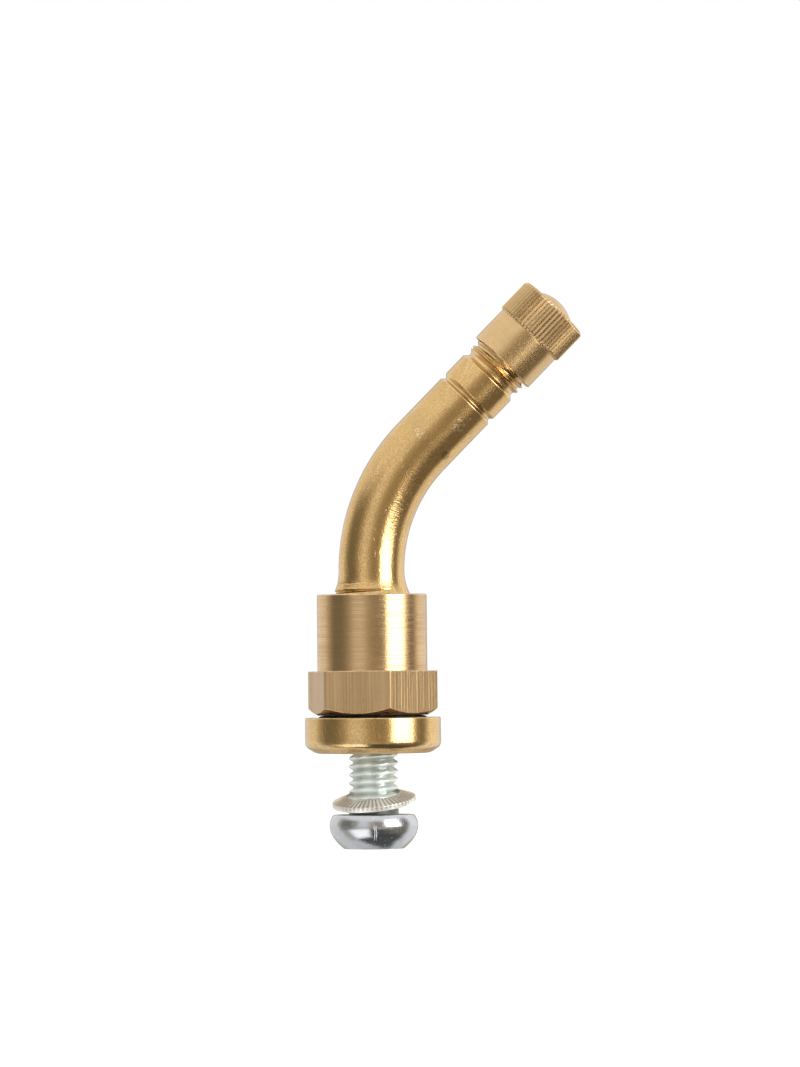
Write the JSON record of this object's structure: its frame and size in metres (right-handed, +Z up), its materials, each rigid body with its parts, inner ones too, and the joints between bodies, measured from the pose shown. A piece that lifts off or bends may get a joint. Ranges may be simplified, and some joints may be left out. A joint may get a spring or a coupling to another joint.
{
  "type": "bent tyre valve",
  "caption": "Bent brass tyre valve with a round foot, hexagon clamp nut, knurled cap and spring-loaded core, and a zinc-plated screw with a conical lock washer to hold a pressure sensor.",
  "frame": {"origin": "centre of the foot's top face, where the foot bears on the rim", "axes": "+Z up the threaded shank, +X the way the stem bends"},
  "size_m": [0.0335, 0.0162, 0.0679],
  "materials": {
    "bright_brass": "bright dipped",
    "turned_brass": "turned and drawn",
    "cap_brass": "satin",
    "core_brass": "satin",
    "spring_steel": "drawn wire",
    "zinc_plate": "zinc plated",
    "washer_plate": "zinc plated, warm",
    "black_rubber": "matt",
    "red_seal": "matt"
  },
  "bodies": {
    "stem": {"valve_stem": "bright_brass", "core_plug": "core_brass", "core_barrel": "core_brass", "core_gasket": "red_seal", "core_spring": "spring_steel"},
    "plunger": {"core_pin": "core_brass", "core_cup": "core_brass", "core_cup_seal": "black_rubber"},
    "seal_ring": {"rim_seal": "black_rubber"},
    "nut": {"clamp_nut": "turned_brass"},
    "cap_disc": {"cap_seal": "black_rubber"},
    "cap": {"valve_cap": "cap_brass"},
    "washer": {"lock_washer": "washer_plate"},
    "screw": {"fixing_screw": "zinc_plate"}
  },
  "joints": [
    {"name": "pin_press", "type": "slide", "parent": "stem", "child": "plunger", "axis": [-0.7009, 0, -0.7133], "range_m": [0, 0.0015], "stiffness_N_per_m": 800, "deforming": ["core_spring"]},
    {"name": "nut_turn", "type": "hinge", "parent": "stem", "child": "seal_ring", "pos_m": [0, 0, 0], "axis": [0, 0, 1], "range_deg": [0, 2898]},
    {"name": "nut_travel", "type": "slide", "parent": "seal_ring", "child": "nut", "axis": [0, 0, 1], "range_m": [0, 0.008]},
    {"name": "cap_lift", "type": "slide", "parent": "stem", "child": "cap_disc", "axis": [0.7009, 0, 0.7133], "range_m": [0, 0.00714]},
    {"name": "cap_turn", "type": "hinge", "parent": "cap_disc", "child": "cap", "pos_m": [0.00611, 0, 0.03252], "axis": [0.7009, 0, 0.7133], "range_deg": [0, 3258]},
    {"name": "screw_travel", "type": "slide", "parent": "stem", "child": "washer", "axis": [0, 0, -1], "range_m": [-0.004, 0.0055]},
    {"name": "screw_turn", "type": "hinge", "parent": "washer", "child": "screw", "pos_m": [0, 0, 0], "axis": [0, 0, -1], "range_deg": [-1458, 1998]}
  ],
  "couplings": [
    {"joint": "nut_turn", "follows": "nut_travel", "rad_per_m": 6283.2},
    {"joint": "cap_turn", "follows": "cap_lift", "rad_per_m": 7915.8},
    {"joint": "screw_turn", "follows": "screw_travel", "rad_per_m": 6283.2}
  ]
}
